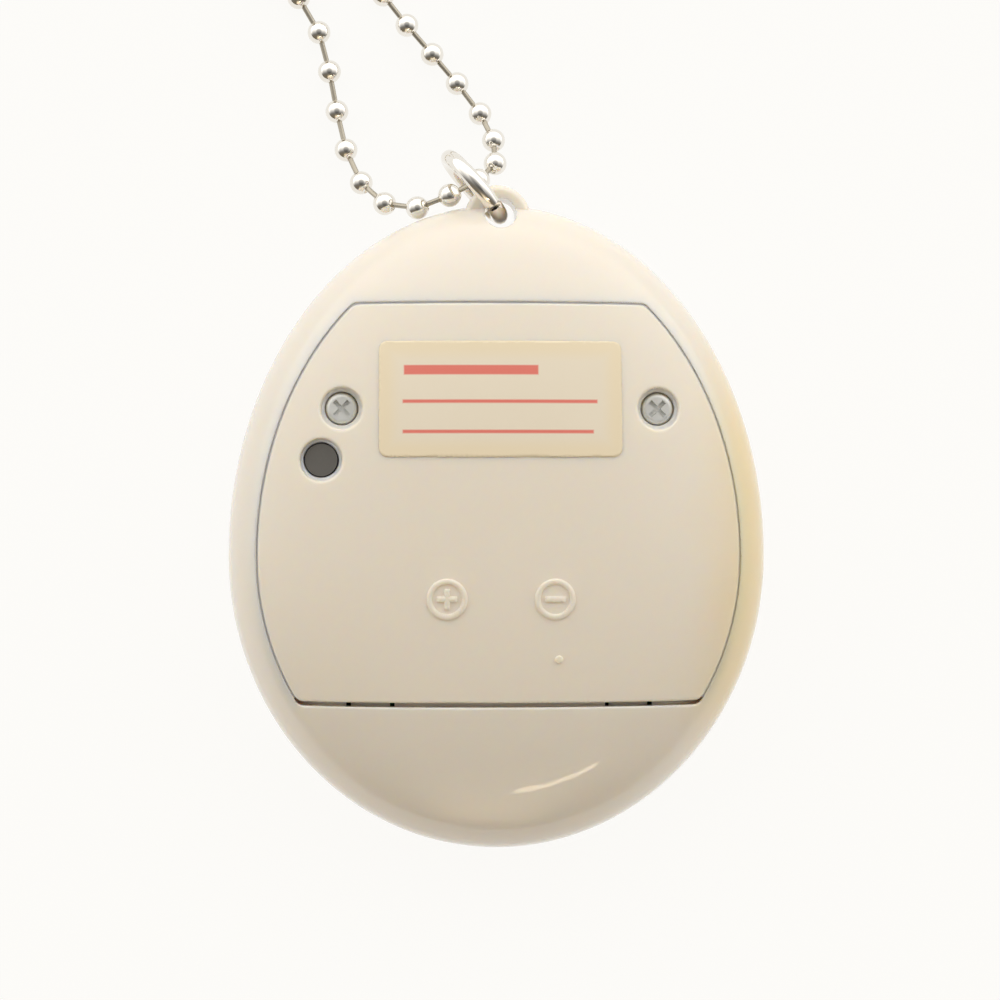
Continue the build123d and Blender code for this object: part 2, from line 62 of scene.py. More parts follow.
lens_distance = 218 * mm
lens_lean = radians(2.4)
looked_at = Vector((0.235 * mm, -0.115 * mm, part_z))
lens = bpy.data.cameras.new("long_lens")
lens.lens = 100
lens.sensor_width = 36
lens.clip_start = 1 * mm
camera = bpy.data.objects.new("camera", lens)
camera.location = looked_at + lens_distance * Vector((-sin(lens_lean), 0, cos(lens_lean)))
camera.rotation_euler = (0, -lens_lean, 0)
bpy.context.scene.collection.objects.link(camera)
bpy.context.scene.camera = camera


# ---- Ball chain ----
# Hollow nickel-plated beads, rolled from strip, each with a hole at both ends. Short wire
# links with upset ends join them. The chain passes through the jump ring and closes on itself
# in a folded coupling, out on the surface that the toy lies on.
def effect_group(name, inputs, outputs):
    """A node group that works out colours, masks or heights, and its two end nodes."""
    group = bpy.data.node_groups.new(name, "ShaderNodeTree")
    for label, kind, value in inputs:
        socket = group.interface.new_socket(label, in_out="INPUT", socket_type=kind)
        socket.default_value = value
    for label, kind in outputs:
        group.interface.new_socket(label, in_out="OUTPUT", socket_type=kind)
    return group, group.nodes.new("NodeGroupInput"), group.nodes.new("NodeGroupOutput")


# Moulded, rolled and plated surfaces are never quite even: a fine grain changes their
# gloss and stands up a little, and a slower drift changes their colour.
uneven, entry, leave = effect_group(
    "uneven_surface",
    [("Colour", "NodeSocketColor", (0.8, 0.8, 0.8, 1)),
     ("Drift Colour", "NodeSocketColor", (0.7, 0.7, 0.7, 1)),
     ("Drift Scale", "NodeSocketFloat", 120.0),
     ("Grain Scale", "NodeSocketFloat", 3000.0),
     ("Roughness Low", "NodeSocketFloat", 0.3),
     ("Roughness High", "NodeSocketFloat", 0.5)],
    [("Colour", "NodeSocketColor"), ("Roughness", "NodeSocketFloat"), ("Height", "NodeSocketFloat")])
place = uneven.nodes.new("ShaderNodeTexCoord")
drift = uneven.nodes.new("ShaderNodeTexNoise")
drift.inputs["Detail"].default_value = 3
grain = uneven.nodes.new("ShaderNodeTexNoise")
grain.inputs["Detail"].default_value = 4
tint = uneven.nodes.new("ShaderNodeMix")
tint.data_type = "RGBA"
gloss = uneven.nodes.new("ShaderNodeMapRange")
for start, end in ((place.outputs["Object"], drift.inputs["Vector"]),
                   (place.outputs["Object"], grain.inputs["Vector"]),
                   (entry.outputs["Drift Scale"], drift.inputs["Scale"]),
                   (entry.outputs["Grain Scale"], grain.inputs["Scale"]),
                   (drift.outputs["Fac"], tint.inputs["Factor"]),
                   (entry.outputs["Colour"], tint.inputs[6]),
                   (entry.outputs["Drift Colour"], tint.inputs[7]),
                   (grain.outputs["Fac"], gloss.inputs["Value"]),
                   (entry.outputs["Roughness Low"], gloss.inputs["To Min"]),
                   (entry.outputs["Roughness High"], gloss.inputs["To Max"]),
                   (tint.outputs[2], leave.inputs["Colour"]),
                   (gloss.outputs["Result"], leave.inputs["Roughness"]),
                   (grain.outputs["Fac"], leave.inputs["Height"])):
    uneven.links.new(start, end)


def finish_of(name, colour, drift_colour, roughness, drift_scale=120, grain_scale=3000, relief=0.0,
              **shader_values):
    """A material with the shared unevenness, and its constants set on the shader itself."""
    material = bpy.data.materials.new(name)
    material.use_nodes = True
    nodes, links = material.node_tree.nodes, material.node_tree.links
    shader = nodes["Principled BSDF"]
    surface = nodes.new("ShaderNodeGroup")
    surface.name = "surface"
    surface.node_tree = uneven
    surface.inputs["Colour"].default_value = (*colour, 1)
    surface.inputs["Drift Colour"].default_value = (*drift_colour, 1)
    surface.inputs["Drift Scale"].default_value = drift_scale
    surface.inputs["Grain Scale"].default_value = grain_scale
    surface.inputs["Roughness Low"].default_value = roughness[0]
    surface.inputs["Roughness High"].default_value = roughness[1]
    links.new(surface.outputs["Colour"], shader.inputs["Base Color"])
    links.new(surface.outputs["Roughness"], shader.inputs["Roughness"])
    if relief:
        bump = nodes.new("ShaderNodeBump")
        bump.inputs["Distance"].default_value = relief
        links.new(surface.outputs["Height"], bump.inputs["Height"])
        links.new(bump.outputs["Normal"], shader.inputs["Normal"])
    for socket, value in shader_values.items():
        shader.inputs[socket.replace("_", " ")].default_value = value
    return material


def wear(material, *nodes):
    """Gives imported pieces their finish."""
    for node in nodes:
        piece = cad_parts[node]
        piece.data.materials.clear()
        piece.data.materials.append(material)


def new_piece(name, mesh, material, body, sharp_above, replaced=None):
    """Turns a finished bmesh into a piece that rides on a body and may stand for a packed one."""
    made = bpy.data.meshes.new(name)
    mesh.to_mesh(made)
    mesh.free()
    packed_normals = made.attributes.get("custom_normal")
    if packed_normals:
        made.attributes.remove(packed_normals)
    made.materials.clear()
    made.materials.append(material)
    for face in made.polygons:
        face.use_smooth = True
    made.set_sharp_from_angle(angle=radians(sharp_above))
    piece = bpy.data.objects.new(name, made)
    bpy.context.scene.collection.objects.link(piece)
    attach(piece, body)
    if replaced:
        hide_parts(replaced)
    return piece


nickel = finish_of("bright_nickel", (0.90, 0.875, 0.83), (0.80, 0.76, 0.69), (0.03, 0.12),
                   drift_scale=700, grain_scale=5000, Metallic=1.0)

link_wire = finish_of("link_wire", (0.50, 0.46, 0.38), (0.38, 0.34, 0.27), (0.3, 0.45),
                      drift_scale=900, grain_scale=5000, Metallic=1.0)

bead_radius = 0.925 * mm
bead_hole = 0.36 * mm
bead_lip = 0.10 * mm
hole_mouth = 0.62        # how much of the hole's radius is left inside its rolled lip
link_radius = 0.21 * mm
link_start = 0.7         # a link begins inside its bead, this share of the radius from the middle
first_bead_at = 0.3 * mm
spacings = [(18.9 * mm, 3.1 * mm), (32.8 * mm, 2.8 * mm), (1, 3.27 * mm)]   # up to where, how far apart
chain_route = [
    (-10.9, 51.2, 0.95), (-10.3, 46.3, 0.95), (-5.2, 40.6, 0.95), (-0.4, 34.9, 1.0),
    (0.35, 31.0, 4.2), (-1.5, 29.4, 6.4), (-4.3, 27.9, 7.2), (-7.8, 26.85, 5.6),
    (-11.2, 29.9, 2.0), (-12.5, 34.6, 0.95), (-13.5, 40.4, 0.95), (-15.0, 44.5, 0.95),
    (-21.8, 50.3, 0.95), (-27.1, 57.0, 0.95), (-26.8, 62.7, 0.95), (-22.8, 66.6, 0.95),
    (-17.2, 66.9, 0.95), (-12.8, 63.4, 0.95), (-11.9, 57.5, 0.95),
]
route = [Vector((x * mm, y * mm + widest_y, z * mm)) for x, y, z in chain_route]

line = bpy.data.curves.new("chain_line", "CURVE")
line.dimensions = "3D"
line.resolution_u = 24
spline = line.splines.new("NURBS")
spline.points.add(len(route) - 1)
for point, corner in zip(spline.points, route):
    point.co = (*corner, 1)
spline.order_u = 3
spline.use_endpoint_u = True
guide = bpy.data.objects.new("chain_line", line)
bpy.context.scene.collection.objects.link(guide)
bpy.context.view_layer.update()
traced = bpy.data.meshes.new_from_object(guide)
chain_path = [vertex.co.copy() for vertex in traced.vertices]
bpy.data.objects.remove(guide)
bpy.data.meshes.remove(traced)

chain_length = sum((b - a).length for a, b in zip(chain_path, chain_path[1:]))


def along_chain(distance):
    """The place on the chain's line at a distance from its start."""
    for a, b in zip(chain_path, chain_path[1:]):
        step = (b - a).length
        if distance <= step:
            return a.lerp(b, distance / step)
        distance -= step
    return chain_path[-1]


def turned_profile(mesh, profile, start, end, around=24):
    """Adds a surface of revolution: (distance along start-end, radius) pairs."""
    axis = (end - start).normalized()
    turn = Vector((0, 0, 1)).rotation_difference(axis).to_matrix()
    rings = []
    for height, radius in profile:
        ring = [mesh.verts.new(start + turn @ Vector((radius * cos(2 * pi * k / around),
                                                      radius * sin(2 * pi * k / around), height)))
                for k in range(around)]
        rings.append(ring)
    for lower, upper in zip(rings, rings[1:]):
        for k in range(around):
            mesh.faces.new((lower[k], lower[(k + 1) % around], upper[(k + 1) % around], upper[k]))
    mesh.faces.new(list(reversed(rings[0])))
    mesh.faces.new(rings[-1])


def bead_profile():
    """Half outline of a bead: a ball whose two ends turn in to the holes for the links."""
    tilt = bead_hole / bead_radius
    steps = 18
    outline = [(-bead_radius * sqrt(1 - tilt ** 2) + bead_lip, bead_hole * hole_mouth)]
    for k in range(steps + 1):
        angle = -pi / 2 + tilt + (pi - 2 * tilt) * k / steps
        outline.append((bead_radius * sin(angle), bead_radius * cos(angle)))
    outline.append((bead_radius * sqrt(1 - tilt ** 2) - bead_lip, bead_hole * hole_mouth))
    return outline


stops = [first_bead_at]
while True:
    following = stops[-1] + next(apart for until, apart in spacings if stops[-1] < until - 0.5 * mm)
    if following > chain_length:
        break
    stops.append(following)
centres = [along_chain(stop) for stop in stops]
mesh = bmesh.new()
for k, centre in enumerate(centres):
    before, after = centres[max(k - 1, 0)], centres[min(k + 1, len(centres) - 1)]
    turned_profile(mesh, bead_profile(), centre, centre + (after - before))
bead_faces = len(mesh.faces)
for centre, following in zip(centres, centres[1:]):
    span = (following - centre).length
    reach = bead_radius * link_start
    turned_profile(mesh, [(reach, link_radius), (span - reach, link_radius)], centre, following, around=12)
bead_chain = new_piece("bead_chain", mesh, nickel, "ring", 40, "ball_chain")
bead_chain.data.materials.append(link_wire)
for face in bead_chain.data.polygons[bead_faces:]:
    face.material_index = 1
wear(nickel, "chain_connector")


# ---- Jump ring ----
# Round steel wire bent into a ring and nickel plated, cut once where its ends meet. It hangs
# in the hole of the case's lug and carries the ball chain.
wear(nickel, "jump_ring")


# ---- Case shells ----
# Two glossy ivory shells moulded in one plastic. The right side has gone yellow with age,
# where light reached it. The edges of the cover's opening are softly rounded.
back_depth = 8.0 * mm
back_fullness = 0.64
profile_steps = 6001
bend = np.linspace(0, 1, profile_steps)
rise = back_depth * (3 * (1 - bend) ** 2 * bend * back_fullness + 3 * (1 - bend) * bend ** 2 + bend ** 3)
reach_out = half_width * ((1 - bend) ** 3 + 3 * (1 - bend) ** 2 * bend
                          + 3 * (1 - bend) * bend ** 2 * back_fullness)


def back_height(x, y):
    """Height of the case's back, a profile turned about Z and drawn out to the egg's length."""
    length = upper_length if y > widest_y else lower_length
    out = sqrt(x ** 2 + ((y - widest_y) * half_width / length) ** 2)
    return part_z + float(np.interp(out, reach_out[::-1], rise[::-1]))


weld = 0.002 * mm         # corners closer than this are one corner
flat_enough = 0.02 * mm   # a corner this close to the back's own surface lies in it
faces_up = 0.2            # least upward part of an outer face's normal
steep = 0.25              # most upward part of the normal of the wall below its edge


def soft_edged(node, edges, fineness=0.11 * mm):
    """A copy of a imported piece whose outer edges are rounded. edges lists each outer face as
    (how far it stands out of the back, the radius of its edges, which of them by place)."""
    mark_spacing = 0.04 * mm
    passes = 7
    mesh = bmesh.new()
    mesh.from_mesh(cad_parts[node].data)
    bmesh.ops.remove_doubles(mesh, verts=mesh.verts, dist=weld)
    for proud, radius, chosen in edges:
        reach = radius + fineness

        def on_skin(vertex):
            return abs(vertex.co.z - back_height(vertex.co.x, vertex.co.y) - proud) < flat_enough

        mesh.normal_update()
        skin = {v for v in mesh.verts if on_skin(v)}
        outer = {f for f in mesh.faces if f.normal.z > faces_up and all(v in skin for v in f.verts)}
        rims = [e for e in mesh.edges if len(e.link_faces) == 2 and e.is_convex
                and sum(f in outer for f in e.link_faces) == 1
                and min(abs(f.normal.z) for f in e.link_faces if f not in outer) < steep]
        marks = []
        for edge in rims:
            a, b = (v.co.copy() for v in edge.verts)
            count = max(1, int((b - a).length / mark_spacing))
            marks += [a.lerp(b, k / count) for k in range(count + 1) if chosen(a)]
        tree = KDTree(len(marks))
        for k, mark in enumerate(marks):
            tree.insert((mark.x, mark.y, 0), k)
        tree.balance()

        def from_rim(point):
            return tree.find((point.x, point.y, 0))[2]

        for _ in range(passes):
            long_edges = [e for e in mesh.edges if e.calc_length() > fineness * 1.4
                          and any(f in outer for f in e.link_faces)
                          and from_rim((e.verts[0].co + e.verts[1].co) / 2) < reach + e.calc_length() / 2]
            if not long_edges:
                break
            bmesh.ops.subdivide_edges(mesh, edges=long_edges, cuts=1)
            many = [f for f in mesh.faces if len(f.verts) > 3]
            bmesh.ops.triangulate(mesh, faces=many)
            mesh.normal_update()
            skin = {v for v in mesh.verts if on_skin(v)}
            outer = {f for f in mesh.faces if f.normal.z > faces_up and all(v in skin for v in f.verts)}
        touched = {v for f in outer for v in f.verts}
        for vertex in touched:
            apart = from_rim(vertex.co)
            if apart < 2 * reach:
                vertex.co.z = back_height(vertex.co.x, vertex.co.y) + proud
            if apart < radius:
                vertex.co.z -= radius - sqrt(radius ** 2 - (radius - apart) ** 2)
    return mesh


yellowed, entry, leave = effect_group(
    "yellowed_side",
    [("Colour", "NodeSocketColor", (0.8, 0.8, 0.8, 1)),
     ("Aged Colour", "NodeSocketColor", (0.8, 0.7, 0.5, 1)),
     ("Starts At", "NodeSocketFloat", 0.0),
     ("Full At", "NodeSocketFloat", 1.0)],
    [("Colour", "NodeSocketColor")])
place = yellowed.nodes.new("ShaderNodeTexCoord")
split = yellowed.nodes.new("ShaderNodeSeparateXYZ")
patches = yellowed.nodes.new("ShaderNodeTexNoise")
patches.inputs["Scale"].default_value = 90
patches.inputs["Detail"].default_value = 2
shift = yellowed.nodes.new("ShaderNodeMath")
shift.operation = "MULTIPLY_ADD"
shift.inputs[1].default_value = 4 * mm
spread = yellowed.nodes.new("ShaderNodeMapRange")
spread.interpolation_type = "SMOOTHSTEP"
age = yellowed.nodes.new("ShaderNodeMix")
age.data_type = "RGBA"
for start, end in ((place.outputs["Object"], split.inputs["Vector"]),
                   (place.outputs["Object"], patches.inputs["Vector"]),
                   (patches.outputs["Fac"], shift.inputs[0]),
                   (split.outputs["X"], shift.inputs[2]),
                   (shift.outputs[0], spread.inputs["Value"]),
                   (entry.outputs["Starts At"], spread.inputs["From Min"]),
                   (entry.outputs["Full At"], spread.inputs["From Max"]),
                   (spread.outputs["Result"], age.inputs["Factor"]),
                   (entry.outputs["Colour"], age.inputs[6]),
                   (entry.outputs["Aged Colour"], age.inputs[7]),
                   (age.outputs[2], leave.inputs["Colour"])):
    yellowed.links.new(start, end)


def yellow_with_age(material, aged, starts_at, full_at):
    """Puts the yellowed side between a finish's own colour and its shader."""
    nodes, links = material.node_tree.nodes, material.node_tree.links
    group = nodes.new("ShaderNodeGroup")
    group.node_tree = yellowed
    group.inputs["Aged Colour"].default_value = (*aged, 1)
    group.inputs["Starts At"].default_value = starts_at
    group.inputs["Full At"].default_value = full_at
    links.new(nodes["surface"].outputs["Colour"], group.inputs["Colour"])
    links.new(group.outputs["Colour"], nodes["Principled BSDF"].inputs["Base Color"])


ivory = finish_of("glossy_ivory", (0.87, 0.80, 0.70), (0.86, 0.785, 0.68), (0.26, 0.34),
                  Coat_Weight=0.8, Coat_Roughness=0.02, Subsurface_Weight=0.8, Subsurface_Scale=1.2 * mm,
                  Subsurface_Radius=(1.0, 0.8, 0.5))
yellow_with_age(ivory, (0.86, 0.70, 0.42), 15 * mm, 22 * mm)
wear(ivory, "front_shell")
lowest_opening = part_z + 2.5 * mm   # the cover's opening stays above this height
rear = soft_edged("rear_shell", [(0, 0.14 * mm, lambda point: point.z > lowest_opening)])
new_piece("rear_shell_soft", rear, ivory, "case", 38, "rear_shell")


# ---- Battery cover ----
# Moulded in the same plastic with a duller surface, and screwed down over the two cells. Its
# two battery marks and its edges stand out with soft rounding. Its three recesses narrow towards
# the screw heads and the reset button.
cover_ivory = finish_of("satin_ivory", (0.87, 0.80, 0.69), (0.86, 0.785, 0.67), (0.34, 0.46),
                        grain_scale=4200, relief=0.004 * mm, Subsurface_Weight=0.8,
                        Subsurface_Scale=0.6 * mm, Subsurface_Radius=(1.0, 0.8, 0.5))
yellow_with_age(cover_ivory, (0.84, 0.70, 0.46), 15 * mm, 23 * mm)
recesses = []
for node in ("cover_screw_left", "cover_screw_right", "reset_button"):
    low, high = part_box(node)
    recesses.append(Vector(((low.x + high.x) / 2, (low.y + high.y) / 2, high.z)))


def in_a_recess(point):
    """Whether a point lies in the round recess of a screw or of the reset button."""
    return any((point - place).xy.length < 2 * mm for place in recesses)


cover = soft_edged("battery_cover", [(0, 0.12 * mm, lambda point: not in_a_recess(point)),
                                     (0, 0.24 * mm, in_a_recess),
                                     (0.16 * mm, 0.07 * mm, lambda point: True)])
new_piece("battery_cover_soft", cover, cover_ivory, "cover", 38, "battery_cover")

recess_radius = 1.57 * mm
throat_radii = (1.29 * mm, 1.29 * mm, 1.36 * mm)
lining_top = 0.3 * mm     # how far below the back a lining starts
lining_foot = 0.1 * mm    # how thick it is at its foot, and how far it reaches below the head
around = 72
mesh = bmesh.new()
for place, throat_radius in zip(recesses, throat_radii):
    rings = []
    for k in range(around):
        out = Vector((cos(2 * pi * k / around), sin(2 * pi * k / around), 0))
        edge, throat = place + out * recess_radius, place + out * throat_radius
        edge.z = back_height(edge.x, edge.y) - lining_top
        throat.z = min(place.z, edge.z) - lining_foot
        under = Vector((edge.x, edge.y, throat.z - lining_foot))
        rings.append([mesh.verts.new(corner) for corner in (edge, throat, under)])
    for ring, following in zip(rings, rings[1:] + rings[:1]):
        for a, b in ((0, 1), (1, 2), (2, 0)):
            mesh.faces.new((ring[a], following[a], following[b], ring[b]))
bmesh.ops.recalc_face_normals(mesh, faces=mesh.faces)
new_piece("recess_linings", mesh, cover_ivory, "cover", 38)


# ---- Ledge under the seam ----
# The rear shell has a thin ledge just under the seam round the cover, moulded in one with it.
# It follows the cover's outline all round but for the cover's straight foot.
ledge_gap = 0.015 * mm
ledge_width = 0.095 * mm
ledge_depth = 0.15 * mm
ledge_thickness = 0.1 * mm
foot_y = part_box("battery_cover")[0].y + 2 * mm
outline = bmesh.new()
outline.from_mesh(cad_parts["battery_cover"].data)
bmesh.ops.remove_doubles(outline, verts=outline.verts, dist=weld)
neighbours = {}
for edge in outline.edges:
    ends = [v.co for v in edge.verts]
    if len(edge.link_faces) != 2 or not edge.is_convex or in_a_recess(ends[0]):
        continue
    on_the_back = all(abs(end.z - back_height(end.x, end.y)) < flat_enough for end in ends)
    if on_the_back and min(abs(f.normal.z) for f in edge.link_faces) < steep:
        a, b = edge.verts
        neighbours.setdefault(a.index, []).append(b.index)
        neighbours.setdefault(b.index, []).append(a.index)
outline.verts.ensure_lookup_table()
seam = [max(neighbours, key=lambda index: outline.verts[index].co.y)]
while True:
    onward = [index for index in neighbours[seam[-1]] if index not in seam[-2:]]
    if not onward or onward[0] == seam[0]:
        break
    seam.append(onward[0])
corners = [outline.verts[index].co.copy() for index in seam]
outline.free()
area = sum(a.x * b.y - b.x * a.y for a, b in zip(corners, corners[1:] + corners[:1]))
turned = 1 if area > 0 else -1
mesh = bmesh.new()
rings = []
for before, corner, after in zip(corners[-1:] + corners, corners, corners[1:] + corners[:1]):
    along = (after - before).xy.normalized() * turned
    out = Vector((along.y, -along.x, 0))
    inner, outer = corner + out * ledge_gap, corner + out * (ledge_gap + ledge_width)
    low = ledge_depth + ledge_thickness
    section = ((inner, ledge_depth), (outer, ledge_depth), (outer, low), (inner, low))
    rings.append([mesh.verts.new(Vector((point.x, point.y, back_height(point.x, point.y) - depth)))
                  for point, depth in section])
kept = [ring for ring in rings if ring[0].co.y > foot_y]
for ring, following in zip(rings, rings[1:] + rings[:1]):
    if ring in kept and following in kept:
        for a, b in ((0, 1), (1, 2), (2, 3), (3, 0)):
            mesh.faces.new((ring[a], following[a], following[b], ring[b]))
bmesh.ops.delete(mesh, geom=[v for v in mesh.verts if not v.link_faces], context="VERTS")
bmesh.ops.holes_fill(mesh, edges=[e for e in mesh.edges if e.is_boundary], sides=4)
bmesh.ops.recalc_face_normals(mesh, faces=mesh.faces)
new_piece("seam_ledge", mesh, ivory, "case", 38)


# ---- Sticker ----
# A soft plastic film with rounded corners, stuck to the cover. It has yellowed from its edges
# inwards. A thick bar and two thinner lines are printed on it in coral.
sticker_low, sticker_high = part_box("blank_label")
sticker_middle = (sticker_low + sticker_high) / 2
sticker_half = (sticker_high - sticker_low) / 2
ruled, entry, leave = effect_group(
    "rounded_bar",
    [("Centre X", "NodeSocketFloat", 0.0), ("Centre Y", "NodeSocketFloat", 0.0),
     ("Half Width", "NodeSocketFloat", 0.01), ("Half Height", "NodeSocketFloat", 0.001),
     ("Softness", "NodeSocketFloat", 0.0001)],
    [("Mask", "NodeSocketFloat")])


def reckon(group, operation, *values):
    """One step of arithmetic in a node group, from numbers or the outputs of earlier steps."""
    step = group.nodes.new("ShaderNodeMath")
    step.operation = operation
    for socket, value in zip(step.inputs, values):
        if isinstance(value, (int, float)):
            socket.default_value = value
        else:
            group.links.new(value, socket)
    return step.outputs[0]


place = ruled.nodes.new("ShaderNodeTexCoord")
split = ruled.nodes.new("ShaderNodeSeparateXYZ")
ruled.links.new(place.outputs["Object"], split.inputs["Vector"])
beyond = []
for axis, centre, half in (("X", "Centre X", "Half Width"), ("Y", "Centre Y", "Half Height")):
    away = reckon(ruled, "ABSOLUTE", reckon(ruled, "SUBTRACT", split.outputs[axis], entry.outputs[centre]))
    beyond.append(reckon(ruled, "SUBTRACT", away, entry.outputs[half]))
outside = reckon(ruled, "DIVIDE", reckon(ruled, "MAXIMUM", *beyond), entry.outputs["Softness"])
inside = ruled.nodes.new("ShaderNodeMapRange")
inside.interpolation_type = "SMOOTHSTEP"
inside.inputs["From Min"].default_value = 1
inside.inputs["From Max"].default_value = -1
ruled.links.new(outside, inside.inputs["Value"])
ruled.links.new(inside.outputs["Result"], leave.inputs["Mask"])

film = finish_of("cream_sticker", (0.86, 0.765, 0.61), (0.84, 0.745, 0.58), (0.42, 0.55), drift_scale=260)
nodes, links = film.node_tree.nodes, film.node_tree.links
colour_so_far = nodes["surface"].outputs["Colour"]


def laid_over(under, colour, across, along, half_width_of, half_height_of, softness, inverted=False):
    """Mixes one colour over another inside a bar, or outside it."""
    bar = nodes.new("ShaderNodeGroup")
    bar.node_tree = ruled
    bar.inputs["Centre X"].default_value = sticker_middle.x + across
    bar.inputs["Centre Y"].default_value = sticker_middle.y + along
    bar.inputs["Half Width"].default_value = half_width_of
    bar.inputs["Half Height"].default_value = half_height_of
    bar.inputs["Softness"].default_value = softness
    mix = nodes.new("ShaderNodeMix")
    mix.data_type = "RGBA"
    links.new(bar.outputs["Mask"], mix.inputs["Factor"])
    colours = (under, colour) if not inverted else (colour, under)
    for socket, value in zip((mix.inputs[6], mix.inputs[7]), colours):
        if isinstance(value, tuple):
            socket.default_value = (*value, 1)
        else:
            links.new(value, socket)
    return mix.outputs[2]


yellowed_film = (0.86, 0.735, 0.52)
border = 1.1 * mm
border_softness = 0.7 * mm
coral_ink = (0.80, 0.20, 0.15)
ink_softness = 0.07 * mm
printed = [(-2.25, 2.2, 5.1, 0.36), (-0.05, -0.2, 7.4, 0.13), (-0.2, -2.5, 7.25, 0.13)]
colour_so_far = laid_over(colour_so_far, yellowed_film, 0, 0, sticker_half.x - border,
                          sticker_half.y - border, border_softness, inverted=True)
for across, along, half_length, half_thickness in printed:
    colour_so_far = laid_over(colour_so_far, coral_ink, across * mm, along * mm,
                              half_length * mm, half_thickness * mm, ink_softness)
links.new(colour_so_far, nodes["Principled BSDF"].inputs["Base Color"])
label = soft_edged("blank_label", [(0.12 * mm, 0.08 * mm, lambda point: True)])
new_piece("blank_label_soft", label, film, "cover", 38, "blank_label")


# ---- Cover screws, case screws and board screws ----
# Small pan heads with a cross, in steel with a dull zinc coat. The cover's two stand deep in
# round recesses. Six more hold the two shells and the board together from inside.
zinc = finish_of("zinc_plate", (0.90, 0.90, 0.87), (0.74, 0.74, 0.70), (0.45, 0.6),
                 drift_scale=900, grain_scale=3500, relief=0.006 * mm, Metallic=1.0)
wear(zinc, "cover_screw_left", "cover_screw_right", "case_screws", "board_screws")


# ---- Reset button ----
# A dark grey rubber plunger at the bottom of a hole in the cover. It stands over the small
# switch on the board.
dark_rubber = finish_of("dark_rubber", (0.115, 0.107, 0.094), (0.095, 0.09, 0.08), (0.5, 0.7),
                        grain_scale=2600, relief=0.01 * mm)
wear(dark_rubber, "reset_button")


# ---- Screen frame and window ----
# A raised coral frame, glossy from its mould, round a clear acrylic window. Both sit in the
# front shell, over the display.
coral = finish_of("coral_plastic", (0.78, 0.16, 0.10), (0.72, 0.14, 0.09), (0.12, 0.22), drift_scale=80,
                  Coat_Weight=0.4, Coat_Roughness=0.05)
clear = finish_of("clear_acrylic", (0.95, 0.97, 0.95), (0.92, 0.95, 0.93), (0.01, 0.04), drift_scale=60,
                  Transmission_Weight=1.0, IOR=1.49)
wear(coral, "screen_frame")
wear(clear, "screen_window")


# ---- Keys and their mat ----
# Three coral silicone keys over a pale silicone mat with carbon pills. The mat lies between
# the front shell and the board.
coral_rubber = finish_of("coral_rubber", (0.76, 0.17, 0.11), (0.70, 0.15, 0.10), (0.45, 0.62),
                         grain_scale=2400, relief=0.008 * mm)
pale_rubber = finish_of("pale_silicone", (0.72, 0.72, 0.68), (0.68, 0.68, 0.63), (0.5, 0.65),
                        grain_scale=2400, relief=0.008 * mm, Subsurface_Weight=0.2, Subsurface_Scale=0.001)
wear(coral_rubber, "button_left", "button_middle", "button_right")
wear(pale_rubber, "keypad_mat")


# ---- Display ----
# A grey-green liquid crystal glass in a white holder, joined to the board by two rubber strips
# of thin dark and pink layers.
glass = finish_of("display_glass", (0.36, 0.41, 0.29), (0.33, 0.38, 0.26), (0.03, 0.08), drift_scale=50,
                  Coat_Weight=1.0, Coat_Roughness=0.02)
holder = finish_of("white_holder", (0.80, 0.80, 0.77), (0.77, 0.77, 0.73), (0.4, 0.52),
                   grain_scale=2800, relief=0.005 * mm)
strip = finish_of("strip_rubber", (0.66, 0.26, 0.30), (0.58, 0.22, 0.26), (0.45, 0.6))
nodes, links = strip.node_tree.nodes, strip.node_tree.links
place = nodes.new("ShaderNodeTexCoord")
layers = nodes.new("ShaderNodeTexWave")
layers.bands_direction = "X"
layers.inputs["Scale"].default_value = 1600
darken = nodes.new("ShaderNodeMix")
darken.data_type = "RGBA"
darken.inputs[7].default_value = (0.04, 0.035, 0.04, 1)
links.new(place.outputs["Object"], layers.inputs["Vector"])
links.new(layers.outputs["Fac"], darken.inputs["Factor"])
links.new(nodes["surface"].outputs["Colour"], darken.inputs[6])
links.new(darken.outputs[2], nodes["Principled BSDF"].inputs["Base Color"])
wear(glass, "display_glass")
wear(holder, "display_holder")
wear(strip, "contact_strips")


# ---- Circuit board and what is on it ----
# Green solder mask over copper tracks, a black epoxy blob over the chip, a tinned crystal can,
# two brown ceramic capacitors and a small pressed-steel switch.
board = finish_of("solder_mask", (0.015, 0.11, 0.035), (0.012, 0.085, 0.03), (0.2, 0.34), drift_scale=300,
                  Coat_Weight=0.5, Coat_Roughness=0.12)
nodes, links = board.node_tree.nodes, board.node_tree.links
place = nodes.new("ShaderNodeTexCoord")
cells = nodes.new("ShaderNodeTexVoronoi")
cells.feature = "DISTANCE_TO_EDGE"
cells.inputs["Scale"].default_value = 420
track = nodes.new("ShaderNodeMapRange")
track.inputs["From Min"].default_value = 0.05
track.inputs["From Max"].default_value = 0.09
track.inputs["To Min"].default_value = 1
track.inputs["To Max"].default_value = 0
copper = nodes.new("ShaderNodeMix")
copper.data_type = "RGBA"
copper.inputs[7].default_value = (0.05, 0.22, 0.07, 1)
links.new(place.outputs["Object"], cells.inputs["Vector"])
links.new(cells.outputs["Distance"], track.inputs["Value"])
links.new(track.outputs["Result"], copper.inputs["Factor"])
links.new(nodes["surface"].outputs["Colour"], copper.inputs[6])
links.new(copper.outputs[2], nodes["Principled BSDF"].inputs["Base Color"])
epoxy = finish_of("black_epoxy", (0.014, 0.014, 0.016), (0.022, 0.021, 0.02), (0.08, 0.26), grain_scale=1500,
                  relief=0.02 * mm)
tinned = finish_of("tinned_steel", (0.68, 0.67, 0.64), (0.58, 0.57, 0.54), (0.18, 0.34), grain_scale=3200,
                   Metallic=1.0)
